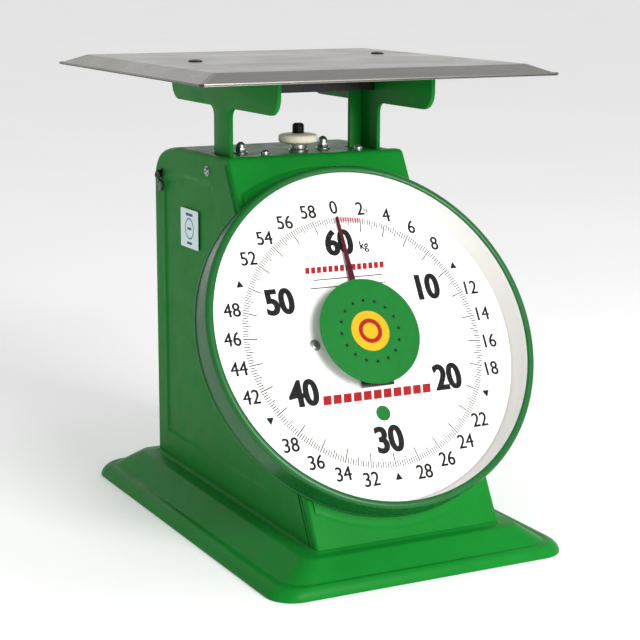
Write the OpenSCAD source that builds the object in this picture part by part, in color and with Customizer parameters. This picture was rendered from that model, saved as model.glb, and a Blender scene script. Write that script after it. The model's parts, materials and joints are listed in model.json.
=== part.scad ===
// Mechanical dial platform scale: a wedge-shaped sheet case on a wide base, a round dial that leans
// back, and a square platter on two brackets. Springs carry the load, two levers keep the platter
// level, and a rack and pinion turns the pointer.
// +Z is up, +Y points to the back, and the origin is the centre of the base's underside.

/* [Base] */
// Width of the base along X
base_w = 248; // [244:1:252]
// Depth of the base along Y
base_d = 374; // [370:1:378]
// Height of the seam between base and case
base_h = 24.8; // [24:0.2:26]
// Corner radius of the base
base_r = 21.6; // [16:0.2:26]

/* [Case] */
// Half width of the case sides
case_half = 77; // [76.5:0.1:77.5]
// Height of the flat top of the case
case_top = 294; // [293.5:0.1:294.5]
// Angle that the front leans back from upright
tilt = 29.6; // [29.4:0.1:29.8]
// Y of the front panel at the seam with the base
front_foot_y = -155.9; // [-156.5:0.1:-155.5]
// Thickness of the case sheet
sheet = 1.2; // [1:0.1:1.2]

/* [Dial] */
// Height where the dial axis crosses the front panel
dial_z = 157.5; // [157:0.1:158]
// Outer radius of the dial housing
ring_r = 137; // [136.5:0.1:137.5]
// Depth of the dial housing in front of the panel
ring_depth = 25.4; // [25.4:0.1:26]
// Radius of the printed hub disc
disc_r = 42; // [38:1:46]

/* [Platter and load frame] */
// Side of the square platter
platter_w = 300; // [298:1:302]
// Height of the platter's top face
platter_z = 366.9; // [366.9:0.1:367.5]
// Y of the platter's centre and of the whole load frame
load_y = 31; // [30.5:0.1:31.5]
// Distance from the middle to the outer face of a bracket
bracket_x = 67.5; // [67.4:0.1:67.6]
// Travel of the platter from no load to full load
travel = 19.7; // [19.6:0.1:19.7]

/* [Movement] */
// Gear module of the rack and pinion
gear_module = 0.6; // [0.6:0.1:0.6]
// Teeth on the pinion
pinion_teeth = 12; // [12:1:12]
// Wire diameter of the load springs
wire_d = 4; // [3.5:0.1:4.2]
// Mean coil diameter of the load springs
coil_d = 24; // [22:1:26]
// Working coils in each load spring
coils = 12; // [10:1:13]

/* [Hidden] */
$fn = 64;

// Small overlap for cuts that run past a face
cut = 1;

// Front line of the case in the YZ plane
front_slope = tan(tilt);
dial_y = front_foot_y + (dial_z - base_h) * front_slope;
panel_half = case_half + 1;

// Case outline: a flat top, a long shallow curve and a short round into the back
flat_end_y = 90;
long_r = 150;
long_end_y = 132;
back_r = 26.6;
bridge_back_y = 45;
long_angle = asin((long_end_y - flat_end_y) / long_r);
back_cy = long_end_y - back_r * sin(long_angle);
back_cz = case_top - long_r * (1 - cos(long_angle)) - back_r * cos(long_angle);
case_back = back_cy + back_r;

// Base skirt levels
skirt_t = 1.5;
lip_z = 9.5;
shoulder_z = 22;
shoulder_half_x = 90;
shoulder_gap_y = 11;
lip_in_x = 11;
lip_in_y = 6;
case_mid_y = (front_foot_y + case_back) / 2;
case_len_y = case_back - front_foot_y;
plate_t = 2;

// Brackets
bracket_t = 3.5;
post_half_y = 15;
post_foot_z = 60;
wing_z = 331;
wing_half_y = 101;
flange_z = 363;
flange_out = 34;
turn_in = 11;
web_in_x = bracket_x - bracket_t;

// Platter
platter_t = 1.2;
platter_flat = 263;
platter_drop = 7.2;
platter_chamfer = 3;

// Levers
lever_pivot_y = 115;
lever_reach = lever_pivot_y - load_y;
lever_len = 84.5;
lever_rise = travel / 2;
upper_pivot_z = 236;
lower_pivot_z = 72;
lever_in_x = 70;
lever_t = 2.5;
shaft_r = 4;
lever_pin_r = 3;
run_gap = 0.05;

// Uprights
upright_x = 50;
upright_t = 3;

// Movement, measured in the dial's own frame
plate_front = -12;
plate_back = -40;
movement_t = 2;
rack_z = -26.5;
rack_t = 3;
pitch_r = gear_module * pinion_teeth / 2;
pitch = PI * gear_module;
rack_pin_world_z = 133;
rack_mid = rack_z + rack_t / 2;
rack_pin_y = (rack_pin_world_z - dial_z - rack_mid * sin(tilt)) / cos(tilt);
rack_pin_world_y = dial_y - rack_mid * cos(tilt) + rack_pin_y * sin(tilt);
pillar_spots = [[-18, -22], [-18, 28], [20, 28]];
spindle_r = 1.5;

// Dial stack, measured out from the panel
pan_floor = 1.2;
dial_face = 4.6;
pointer_z = 7;
glass_z = 18.5;
glass_t = 2;
disc_side = -1.5;
disc_up = 3;
dial_screw_r = 43.5;
pointer_len = 101;
pointer_tail = 37.6;
weight_half = 13.5;

// Spring and suspension heights
crosshead_z = 127;
crosshead_h = 12;
hanger_z = 268;
hanger_h = 8;
spring_x = 24;
stud_r = 5;
stud_top = 316;
seat_h = 5.6;
knob_r = 16;
knob_h = 9;
bridge_t = 3;

// Dashpot
dash_r = 17;
dash_h = 58;
dash_wall = 2;
rod_r = 2.5;

// Points along an arc, used in outlines
function arc(cx, cy, r, a0, a1, n = 8) =
    [for (i = [0 : n]) let (a = a0 + (a1 - a0) * i / n) [cx + r * cos(a), cy + r * sin(a)]];

// Y of the front line at height z, moved inwards by d
function front_y(z, d = 0) = front_foot_y + (z - base_h) * front_slope + d / cos(tilt);

// The case's side outline in Y and Z, moved inwards by d and starting at height z0
function case_outline(d, z0) = concat(
    [[front_y(z0, d), z0], [front_y(case_top - d, d), case_top - d]],
    arc(flat_end_y, case_top - long_r, long_r - d, 90, 90 - long_angle, 12),
    arc(back_cy, back_cz, back_r - d, 90 - long_angle, 0, 10),
    [[case_back - d, z0]]);

// Draws an outline given in Y and Z as a plate between x0 and x1
module yz_plate(x0, x1) {
    translate([x0, 0, 0]) rotate([90, 0, 90]) linear_extrude(x1 - x0) children();
}

// Places children in the dial's frame: Z out of the dial, Y up along it
module dial_frame() {
    translate([0, dial_y, dial_z]) rotate([90 - tilt, 0, 0]) children();
}

// A washer-shaped body between radii r0 and r1
module tube(r0, r1, h) {
    difference() {
        cylinder(r = r1, h = h);
        translate([0, 0, -cut]) cylinder(r = r0, h = h + 2 * cut);
    }
}

// A cylinder that lies along X and starts at x0
module x_rod(r, x0, x1, y, z) {
    translate([x0, y, z]) rotate([0, 90, 0]) cylinder(r = r, h = x1 - x0);
}

// A pan-head screw standing on Z = 0
module pan_screw(r, h) {
    rotate_extrude() polygon(concat([[0, 0], [r, 0]], arc(r - h * 0.7, h * 0.3, h * 0.7, 0, 90, 5), [[0, h]]));
}

// A hex bolt standing on Z = 0 with a washer and a rounded nut end
module hex_bolt(r, h) {
    cylinder(r = r * 1.25, h = 1);
    translate([0, 0, 1]) cylinder(r = r, h = h, $fn = 6);
    translate([0, 0, 1 + h]) cylinder(r = r * 0.62, h = h * 0.45);
}

// A thin rounded slab that hulls build the base from
module base_slab(w, d, r, mid_y, z) {
    translate([0, mid_y, z]) linear_extrude(0.2)
        offset(r = r, $fn = 32) square([w - 2 * r, d - 2 * r], center = true);
}

// The base's pressed form, moved inwards and down by d
module base_form(d) {
    low = [base_w - 2 * d, base_d - 2 * d];
    lip = [base_w - 2 * lip_in_x - 2 * d, base_d - 2 * lip_in_y - 2 * d];
    top_w = 2 * shoulder_half_x - 2 * d;
    top_d = case_len_y + 2 * shoulder_gap_y - 2 * d;
    hull() {
        base_slab(low[0], low[1], base_r - d, 0, -d);
        base_slab(low[0], low[1], base_r - d, 0, 1.6 - d);
        base_slab(lip[0], lip[1], base_r - 4 - d, 0, lip_z - d);
    }
    hull() {
        base_slab(lip[0], lip[1], base_r - 4 - d, 0, lip_z - d);
        base_slab(top_w, top_d, 10, case_mid_y, shoulder_z - d);
    }
    hull() {
        base_slab(top_w, top_d, 10, case_mid_y, shoulder_z - d);
        base_slab(top_w - 14, top_d - 12, 6, case_mid_y, base_h - 0.2 - d);
    }
}

module base_skirt() {
    color("seagreen") difference() {
        base_form(0);
        base_form(skirt_t);
        translate([0, case_mid_y + 2, base_h])
            cube([2 * case_half - 16, case_len_y - 20, 10], center = true);
    }
}

module base_plate() {
    inset = 2 * (skirt_t + 5);
    color("dimgray") linear_extrude(plate_t) offset(r = base_r - 4, $fn = 32)
        square([base_w - inset - 2 * base_r + 8, base_d - inset - 2 * base_r + 8], center = true);
}

// Slots in the case top that a bracket post passes through
module post_slots() {
    gap = 2;
    for (side = [-1, 1]) scale_x(side) {
        translate([web_in_x - gap, load_y - post_half_y - gap, case_top - 4])
            cube([bracket_t + 2 * gap, 2 * post_half_y + 2 * gap, 8]);
        translate([web_in_x - turn_in - gap, load_y + post_half_y - bracket_t - gap, case_top - 4])
            cube([turn_in + 2 * gap, bracket_t + 2 * gap, 8]);
    }
}

// Mirrors children to the -X side when side is -1
module scale_x(side) {
    mirror([side < 0 ? 1 : 0, 0, 0]) children();
}

module case_shell() {
    cover_half = 58;
    color("seagreen") difference() {
        yz_plate(-case_half, case_half) polygon(case_outline(sheet / 2, base_h));
        yz_plate(-case_half + sheet, case_half - sheet) polygon(concat(
            [[front_y(base_h) - 20, base_h - cut], [front_y(case_top) - 20, case_top - sheet * 1.5]],
            arc(flat_end_y, case_top - long_r, long_r - sheet * 1.5, 90, 90 - long_angle, 12),
            arc(back_cy, back_cz, back_r - sheet * 1.5, 90 - long_angle, 0, 10),
            [[case_back - sheet * 1.5, base_h - cut]]));
        translate([-cover_half, case_back - 5, 50]) cube([2 * cover_half, 10, 180]);
        post_slots();
        translate([0, load_y, case_top - 5]) cylinder(r = stud_r + 1, h = 10);
    }
}

// The front sheet with its folded top and side flanges
module front_panel() {
    top_fold = 7;
    top_z = case_top - sheet / 2;
    color("mediumseagreen") difference() {
        union() {
            yz_plate(-panel_half, panel_half) polygon([
                [front_y(base_h, -sheet / 2), base_h], [front_y(top_z, -sheet / 2), top_z],
                [front_y(top_z, sheet / 2), top_z], [front_y(base_h, sheet / 2), base_h]]);
            for (side = [-1, 1]) scale_x(side) yz_plate(case_half, panel_half) polygon([
                [front_y(base_h, -sheet / 2), base_h], [front_y(top_z, -sheet / 2), top_z],
                [front_y(top_z) + 10, top_z], [front_y(base_h) + 22, base_h]]);
            translate([-panel_half, front_y(top_z, -sheet / 2), top_z])
                cube([2 * panel_half, top_fold, sheet]);
        }
        dial_frame() translate([0, 0, -5]) cylinder(r = 9, h = 10);
    }
}

module rear_cover() {
    color("seagreen") translate([-66, case_back - sheet / 2, 42]) cube([132, sheet, 196]);
}

module rear_cover_screws() {
    color("silver") for (x = [-61, 61]) for (z = [47, 140, 233])
        translate([x, case_back + sheet / 2, z]) rotate([-90, 0, 0]) pan_screw(3.5, 2);
}

module side_screws() {
    color("silver") for (side = [-1, 1]) scale_x(side)
        translate([case_half, 37.9, 280.3]) rotate([0, 90, 0]) pan_screw(3, 2);
}

module seal_screw() {
    color("gray") translate([-case_half, 134.5, 268]) rotate([0, -90, 0]) {
        cylinder(r = 4.5, h = 1);
        translate([0, 0, 1]) cylinder(r = 3, h = 3);
    }
}

module lead_seal() {
    color("darkgray") translate([-case_half, 134.5, 258]) rotate([0, -90, 0]) difference() {
        cylinder(r = 5, h = 3);
        translate([-8, 0, 1.5]) rotate([0, 90, 0]) cylinder(r = 0.5, h = 16);
    }
}

module blank_label() {
    color("lightsteelblue") translate([-case_half - 0.3, 75 - 18, 229 - 16]) cube([0.3, 36, 32]);
}

module dial_housing() {
    color("darkgreen") dial_frame() rotate_extrude($fn = 128) polygon([
        [22, sheet / 2], [ring_r, sheet / 2], [ring_r, ring_depth], [ring_r - 6, ring_depth],
        [ring_r - 6, ring_depth - 1.4], [ring_r - 1.2, ring_depth - 1.4],
        [ring_r - 1.2, pan_floor + sheet / 2], [22, pan_floor + sheet / 2]]);
}

module dial_pan() {
    floor_z = pan_floor + sheet / 2;
    color("whitesmoke") dial_frame() rotate_extrude($fn = 128) polygon([
        [22, floor_z], [129.2, floor_z], [131.8, 22.8], [135.6, 22.8],
        [135.6, 24], [130.6, 24], [128, floor_z + 1], [22, floor_z + 1]]);
}

module dial_plate() {
    color("white") dial_frame() difference() {
        translate([0, 0, pan_floor + sheet / 2 + 1])
            cylinder(r = 127.4, h = dial_face - pan_floor - sheet / 2 - 1, $fn = 128);
        cylinder(r = 5, h = 10);
    }
}

module dial_screws() {
    color("silver") dial_frame() for (a = [0, 90, 180])
        rotate([0, 0, a]) translate([dial_screw_r, 0, dial_face]) pan_screw(3.4, 1.8);
}

module clear_cover() {
    color("lightcyan", 0.3) dial_frame() translate([0, 0, glass_z]) cylinder(r = 129.7, h = glass_t, $fn = 128);
}

module hub_disc() {
    color("forestgreen") dial_frame() translate([disc_side, disc_up, glass_z - 0.6])
        cylinder(r = disc_r, h = 0.6);
}

// One upright of the inner frame, with an arm that carries the top bridge
module upright(side) {
    bridge_z = case_top - 1.5 * sheet - bridge_t;
    scale_x(side) difference() {
        yz_plate(upright_x, upright_x + upright_t) polygon([
            [98, plate_t], [132, plate_t], [132, 262], [60, 284], [bridge_back_y, bridge_z], [3, bridge_z],
            [3, bridge_z - 14], [42, bridge_z - 16], [98, 232]]);
        x_rod(shaft_r + run_gap, upright_x - cut, upright_x + upright_t + cut, lever_pivot_y, upper_pivot_z);
        x_rod(shaft_r + run_gap, upright_x - cut, upright_x + upright_t + cut, lever_pivot_y, lower_pivot_z);
    }
}

module left_upright() { color("slategray") upright(-1); }

module right_upright() { color("slategray") upright(1); }

module top_bridge_plate() {
    plate_z = case_top - 1.5 * sheet - bridge_t;
    color("slategray") difference() {
        translate([-upright_x - upright_t, 3, plate_z])
            cube([2 * (upright_x + upright_t), bridge_back_y - 3, bridge_t]);
        translate([0, load_y, plate_z - cut]) cylinder(r = stud_r + 0.6, h = bridge_t + 2 * cut);
        translate([0, 0, -4]) post_slots();
    }
}

module top_screws() {
    color("silver") for (x = [-40, 43]) translate([x, 9, case_top - sheet / 2]) {
        cylinder(r = 5, h = 0.9);
        translate([0, 0, 0.9]) pan_screw(3.4, 4);
    }
}

module top_bolts() {
    color("silver") {
        translate([-49, 35, case_top - sheet / 2]) hex_bolt(4.6, 6.5);
        translate([27, 40, case_top - sheet / 2]) hex_bolt(5, 7.5);
    }
}

// One movement plate, with the corner below ear_y cut away where the yoke passes
module movement_plate(z, ear_y) {
    dial_frame() translate([0, 0, z]) difference() {
        linear_extrude(movement_t)
            polygon([[-24, -28], [12, -28], [12, ear_y], [26, ear_y], [26, 34], [-24, 34]]);
        translate([0, 0, -cut]) cylinder(r = 3.5, h = movement_t + 2 * cut);
    }
}

module movement_front_plate() { color("goldenrod") movement_plate(plate_front, -8); }

module movement_back_plate() { color("goldenrod") movement_plate(plate_back, 12); }

module movement_pillars() {
    gap_start = plate_back + movement_t;
    color("silver") dial_frame() for (p = pillar_spots) translate([p[0], p[1], 0]) {
        translate([0, 0, gap_start]) cylinder(r = 3, h = plate_front - gap_start);
        translate([0, 0, plate_front + movement_t])
            cylinder(r = 3, h = -plate_front - movement_t - sheet / 2);
    }
}

module spindle_bushes() {
    color("gold") dial_frame() for (z = [plate_front, plate_back])
        translate([0, 0, z]) tube(spindle_r + run_gap, 3.5, movement_t);
}

module rack_guide_pin() {
    guide_r = 1.8;
    guide_x = pitch_r + 7.4 + guide_r + 0.4;
    color("silver") dial_frame() translate([guide_x, 4, rack_z - 1])
        cylinder(r = guide_r, h = plate_front - rack_z + 1);
}

module dashpot_cylinder() {
    color("silver") translate([0, load_y, plate_t]) difference() {
        cylinder(r = dash_r, h = dash_h);
        translate([0, 0, 2]) cylinder(r = dash_r - dash_wall, h = dash_h);
    }
}

module dashpot_cap() {
    color("dimgray") translate([0, load_y, plate_t + dash_h]) tube(rod_r + 0.5, dash_r, 4);
}

module knob_seat() {
    color("silver") translate([0, load_y, case_top - sheet / 2]) tube(stud_r + 0.6, 8, seat_h);
}

// Wire path of a load spring: straight tails on the axis, tapered end turns and the working coils
spring_low = crosshead_z + crosshead_h;
spring_len = hanger_z - spring_low;
turn_steps = 16;
total_turns = coils + 2;
coil_rise = 6;
tail = (spring_len - total_turns * coil_rise) / 2;

function spring_radius(t) = coil_d / 2 * min(1, sin(90 * min(1, t)), sin(90 * min(1, total_turns - t)));

function spring_point(t) = [spring_radius(t) * cos(360 * t), spring_radius(t) * sin(360 * t),
    spring_low + tail + t * coil_rise];

spring_path = concat([[0, 0, spring_low]],
    [for (i = [0 : total_turns * turn_steps]) spring_point(i / turn_steps)], [[0, 0, hanger_z]]);

function unit(v) = v / norm(v);

function path_dir(p, i) =
    i == 0 || i == len(p) - 1 ? [0, 0, 1] : unit(p[i + 1] - p[i - 1]);

// One ring of the swept wire, turned with the coil so that the rings never twist
function wire_ring(p, i, r, sides) =
    let (d = path_dir(p, i), a = 360 * (i - 1) / turn_steps, out = [cos(a), sin(a), 0],
         v = unit(cross(d, out)), u = cross(v, d))
    [for (k = [0 : sides - 1]) p[i] + r * (cos(360 * k / sides) * u + sin(360 * k / sides) * v)];

module swept_wire(p, r, sides = 8) {
    n = len(p);
    points = [for (i = [0 : n - 1]) each wire_ring(p, i, r, sides)];
    walls = [for (i = [0 : n - 2]) for (k = [0 : sides - 1])
        [i * sides + k, (i + 1) * sides + k, (i + 1) * sides + (k + 1) % sides, i * sides + (k + 1) % sides]];
    ends = [[for (k = [0 : sides - 1]) k], [for (k = [sides - 1 : -1 : 0]) (n - 1) * sides + k]];
    polyhedron(points, concat(walls, ends));
}

module left_spring() {
    color("silver") translate([-spring_x, load_y, 0]) swept_wire(spring_path, wire_d / 2);
}

module right_spring() {
    color("silver") translate([spring_x, load_y, 0]) swept_wire(spring_path, wire_d / 2);
}

// A square plate with cut corners, thin enough for the platter's hulls
module platter_slab(w, chamfer, z) {
    h = w / 2;
    c = h - chamfer;
    translate([0, load_y, z]) linear_extrude(0.2)
        polygon([[-c, -h], [c, -h], [h, -c], [h, c], [c, h], [-c, h], [-h, c], [-h, -c]]);
}

module platter() {
    slope = 1.4;
    color("lightgray") difference() {
        hull() {
            platter_slab(platter_flat, 2, platter_z - 0.2);
            platter_slab(platter_w, platter_chamfer, platter_z - platter_drop - 0.2);
        }
        hull() {
            platter_slab(platter_flat - slope, 2, platter_z - platter_t - 0.2);
            platter_slab(platter_w - slope, platter_chamfer, platter_z - platter_drop - platter_t - 0.2);
        }
        translate([0, load_y, platter_z - platter_drop - 5.2])
            cube([platter_w + 10, platter_w + 10, 10], center = true);
        for (p = platter_screw_spots) translate([p[0], load_y + p[1], platter_z - 2 * platter_t])
            cylinder(r = platter_screw_r, h = 3 * platter_t);
    }
}

// Flush screws sit in the platter's two holes and bear on the brackets' flanges
platter_screw_r = 4;
platter_screw_spots = [[-90, -2], [95, 41]];

module platter_screws() {
    color("gray") for (p = platter_screw_spots)
        translate([p[0], load_y + p[1], platter_z - platter_t]) cylinder(r = platter_screw_r, h = platter_t - 0.2);
}

// Side outline of a bracket: a post with two wings, all corners round
module bracket_outline() {
    end_r = 14;
    inner_r = 8;
    left = load_y - wing_half_y;
    right = load_y + wing_half_y;
    post_l = load_y - post_half_y;
    post_r = load_y + post_half_y;
    polygon(concat(
        [[post_l, post_foot_z], [post_r, post_foot_z]],
        arc(post_r + inner_r, wing_z - inner_r, inner_r, 180, 90, 5),
        arc(right - end_r, wing_z + end_r, end_r, -90, 0, 8),
        [[right, flange_z], [left, flange_z]],
        arc(left + end_r, wing_z + end_r, end_r, 180, 270, 8),
        arc(post_l - inner_r, wing_z - inner_r, inner_r, 90, 0, 5)));
}

// One load bracket: web with wings, turned-out top flange and turned-in back edge
module bracket(side) {
    slot_gap = 0.35;
    flange_top = platter_z - platter_t;
    scale_x(side) {
        difference() {
            yz_plate(web_in_x, bracket_x) bracket_outline();
            for (z = [upper_pivot_z + lever_rise, lower_pivot_z + lever_rise]) {
                translate([web_in_x - cut, load_y - 1, z - lever_pin_r - slot_gap])
                    cube([bracket_t + 2 * cut, 2, 2 * (lever_pin_r + slot_gap)]);
                for (dy = [-1, 1])
                    x_rod(lever_pin_r + slot_gap, web_in_x - cut, bracket_x + cut, load_y + dy, z);
            }
        }
        translate([web_in_x, load_y - wing_half_y, flange_z])
            cube([bracket_t + flange_out, 2 * wing_half_y, flange_top - flange_z]);
        translate([web_in_x - turn_in, load_y + post_half_y - bracket_t, post_foot_z])
            cube([turn_in, bracket_t, flange_z - post_foot_z]);
    }
}

module left_bracket() { color("green") bracket(-1); }

module right_bracket() { color("green") bracket(1); }

module platter_cross_member() {
    low_z = 341;
    wall = 2.5;
    half_y = 11;
    color("black") difference() {
        translate([-web_in_x, load_y - half_y, low_z]) cube([2 * web_in_x, 2 * half_y, flange_z - low_z]);
        translate([-web_in_x - cut, load_y - half_y + wall, low_z - cut])
            cube([2 * web_in_x + 2 * cut, 2 * half_y - 2 * wall, flange_z - low_z - wall + cut]);
    }
}

module crosshead() {
    color("slategray") translate([-web_in_x, load_y - 6, crosshead_z]) cube([2 * web_in_x, 12, crosshead_h]);
}

module crosshead_screws() {
    mid_z = crosshead_z + crosshead_h / 2;
    color("silver") for (side = [-1, 1]) scale_x(side)
        translate([bracket_x, load_y, mid_z]) rotate([0, 90, 0]) cylinder(r = 4, h = 1.6, $fn = 6);
}

// Arm from the crosshead to the rack, with a level slot for the rack pin
module rack_yoke() {
    yoke_x = 14;
    yoke_t = 2.5;
    slot_r = 1.9;
    run_y = travel * front_slope;
    back_y = load_y - 6;
    tip_y = rack_pin_world_y - run_y - 4;
    slot_back = rack_pin_world_y + 0.8;
    slot_front = rack_pin_world_y - run_y - 0.8;
    color("slategray") {
        difference() {
            translate([yoke_x, tip_y, crosshead_z]) cube([yoke_t, back_y - tip_y, crosshead_h]);
            for (y = [slot_back, slot_front])
                x_rod(slot_r, yoke_x - cut, yoke_x + yoke_t + cut, y, rack_pin_world_z);
            translate([yoke_x - cut, slot_front, rack_pin_world_z - slot_r])
                cube([yoke_t + 2 * cut, slot_back - slot_front, 2 * slot_r]);
        }
        translate([yoke_x, back_y - 2.5, crosshead_z]) cube([16, 2.5, crosshead_h]);
    }
}

module damper_rod() {
    color("silver") translate([0, load_y, 48]) cylinder(r = rod_r, h = crosshead_z - 48);
}

module damper_piston() {
    color("dimgray") translate([0, load_y, 44]) difference() {
        cylinder(r = dash_r - dash_wall - 0.6, h = 4);
        for (a = [0 : 90 : 270]) rotate([0, 0, a]) translate([9, 0, -cut]) cylinder(r = 1.5, h = 4 + 2 * cut);
    }
}

// Arms of one lever: a link from the shaft forwards and up to its pin
module lever_arms(pivot_z) {
    color("darkslategray") for (side = [-1, 1]) scale_x(side) difference() {
        hull() {
            x_rod(8, lever_in_x, lever_in_x + lever_t, lever_pivot_y, pivot_z, $fn = 32);
            x_rod(6.5, lever_in_x, lever_in_x + lever_t, load_y, pivot_z + lever_rise, $fn = 32);
        }
        x_rod(shaft_r, lever_in_x - cut, lever_in_x + lever_t + cut, lever_pivot_y, pivot_z);
        x_rod(lever_pin_r, lever_in_x - cut, lever_in_x + lever_t + cut, load_y, pivot_z + lever_rise);
    }
}

module lever_shaft(pivot_z) {
    end_x = lever_in_x + lever_t;
    color("silver") x_rod(shaft_r, -end_x, end_x, lever_pivot_y, pivot_z);
}

module lever_pins(pivot_z) {
    color("silver") for (side = [-1, 1]) scale_x(side)
        x_rod(lever_pin_r, web_in_x - 2, lever_in_x + lever_t, load_y, pivot_z + lever_rise);
}

module upper_lever_arms() { lever_arms(upper_pivot_z); }

module upper_lever_shaft() { lever_shaft(upper_pivot_z); }

module upper_lever_pins() { lever_pins(upper_pivot_z); }

module lower_lever_arms() { lever_arms(lower_pivot_z); }

module lower_lever_shaft() { lever_shaft(lower_pivot_z); }

module lower_lever_pins() { lever_pins(lower_pivot_z); }

// Straight rack: bar with teeth that face the pinion
module rack() {
    root_x = pitch_r + 0.75;
    tip_x = pitch_r - 0.55;
    color("gold") dial_frame() translate([0, 0, rack_z]) difference() {
        linear_extrude(rack_t) union() {
            translate([root_x, -18]) square([pitch_r + 7.4 - root_x, 52]);
            for (k = [-2 : 14]) translate([0, k * pitch])
                polygon([[root_x + 0.1, -0.5], [root_x + 0.1, 0.5], [tip_x, 0.18], [tip_x, -0.18]]);
        }
        translate([0, rack_pin_y, rack_t / 2]) rotate([0, 90, 0]) cylinder(r = 1, h = 20);
    }
}

module rack_pin() {
    color("silver") dial_frame() translate([0, rack_pin_y, rack_mid]) rotate([0, 90, 0]) {
        translate([0, 0, pitch_r + 3]) cylinder(r = 1, h = 4.4);
        translate([0, 0, pitch_r + 7.4]) cylinder(r = 1.5, h = 8);
    }
}

module spindle() {
    color("silver") dial_frame() translate([0, 0, plate_back - 1]) cylinder(r = spindle_r, h = 48);
}

module pinion() {
    color("gold") dial_frame() translate([0, 0, rack_z - 1]) difference() {
        union() {
            cylinder(r = pitch_r - 0.75, h = rack_t + 2);
            for (k = [0 : pinion_teeth - 1]) rotate([0, 0, (k + 0.5) * 360 / pinion_teeth])
                linear_extrude(rack_t + 2)
                    polygon([[2.4, -0.5], [2.4, 0.5], [pitch_r + 0.55, 0.2], [pitch_r + 0.55, -0.2]]);
        }
        translate([0, 0, -cut]) cylinder(r = spindle_r, h = rack_t + 4);
    }
}

module pointer() {
    color("darkred") dial_frame() translate([0, 0, pointer_z]) difference() {
        linear_extrude(0.8) polygon([[-4, -24], [-4, 0], [-1, pointer_len], [1, pointer_len], [4, 0],
            [4, -24], [weight_half, -27], [weight_half, -pointer_tail], [-weight_half, -pointer_tail],
            [-weight_half, -27]]);
        translate([0, 0, -cut]) cylinder(r = spindle_r, h = 4);
    }
}

module pointer_boss() {
    color("black") dial_frame() {
        translate([0, 0, dial_face + 0.8]) tube(spindle_r, 4.5, pointer_z - dial_face - 0.8);
        translate([0, 0, pointer_z + 0.8]) cylinder(r = 5, h = 1.8);
    }
}

module zero_knob() {
    knob_z = case_top - sheet / 2 + seat_h;
    color("ivory") translate([0, load_y, knob_z]) difference() {
        rotate_extrude() polygon(concat([[0, 0], [9, 0], [knob_r - 2, 1]],
            [[knob_r, 2]], arc(knob_r - 3, knob_h - 4, 3, 0, 90, 6), [[7, knob_h], [0, knob_h]]));
        translate([0, 0, -cut]) cylinder(r = stud_r + run_gap, h = knob_h + 2 * cut);
    }
}

module spring_hanger() {
    color("slategray") translate([-36, load_y - 6, hanger_z]) difference() {
        cube([72, 12, hanger_h]);
        translate([36, 6, -cut]) cylinder(r = stud_r, h = hanger_h + 2 * cut);
    }
}

module zero_stud() {
    color("silver") translate([0, load_y, hanger_z]) cylinder(r = stud_r, h = stud_top - hanger_z);
}

base_skirt();
base_plate();
case_shell();
front_panel();
rear_cover();
rear_cover_screws();
side_screws();
seal_screw();
lead_seal();
blank_label();
dial_housing();
dial_pan();
dial_plate();
dial_screws();
clear_cover();
hub_disc();
left_upright();
right_upright();
top_bridge_plate();
top_screws();
top_bolts();
movement_front_plate();
movement_back_plate();
movement_pillars();
spindle_bushes();
rack_guide_pin();
dashpot_cylinder();
dashpot_cap();
knob_seat();
left_spring();
right_spring();
platter();
platter_screws();
left_bracket();
right_bracket();
platter_cross_member();
crosshead();
crosshead_screws();
rack_yoke();
damper_rod();
damper_piston();
upper_lever_arms();
upper_lever_shaft();
upper_lever_pins();
lower_lever_arms();
lower_lever_shaft();
lower_lever_pins();
rack();
rack_pin();
spindle();
pinion();
pointer();
pointer_boss();
zero_knob();
spring_hanger();
zero_stud();
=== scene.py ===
import bpy
import bmesh
import json
import math
from mathutils import Matrix, Vector


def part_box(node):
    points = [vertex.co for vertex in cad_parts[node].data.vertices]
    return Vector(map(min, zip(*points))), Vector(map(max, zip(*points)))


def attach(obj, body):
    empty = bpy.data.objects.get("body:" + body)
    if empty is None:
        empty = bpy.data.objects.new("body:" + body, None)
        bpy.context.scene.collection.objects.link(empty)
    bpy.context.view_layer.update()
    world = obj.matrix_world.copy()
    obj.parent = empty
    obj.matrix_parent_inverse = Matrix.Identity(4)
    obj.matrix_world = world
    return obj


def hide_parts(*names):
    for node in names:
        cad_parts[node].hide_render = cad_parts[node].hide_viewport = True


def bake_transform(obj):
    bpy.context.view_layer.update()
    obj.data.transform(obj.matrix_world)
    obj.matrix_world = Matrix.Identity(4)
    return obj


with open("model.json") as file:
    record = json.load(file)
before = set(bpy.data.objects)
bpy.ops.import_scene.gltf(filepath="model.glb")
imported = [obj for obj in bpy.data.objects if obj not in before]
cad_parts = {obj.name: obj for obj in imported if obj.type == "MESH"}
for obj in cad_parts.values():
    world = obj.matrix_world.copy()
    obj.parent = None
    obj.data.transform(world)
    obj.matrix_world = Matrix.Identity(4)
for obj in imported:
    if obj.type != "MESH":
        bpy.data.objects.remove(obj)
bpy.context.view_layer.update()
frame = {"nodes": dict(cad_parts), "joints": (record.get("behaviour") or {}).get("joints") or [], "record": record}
MM = 0.001


# ---------------- camera

def add_object(name, data):
    obj = bpy.data.objects.new(name, data)
    bpy.context.scene.collection.objects.link(obj)
    return obj


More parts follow.
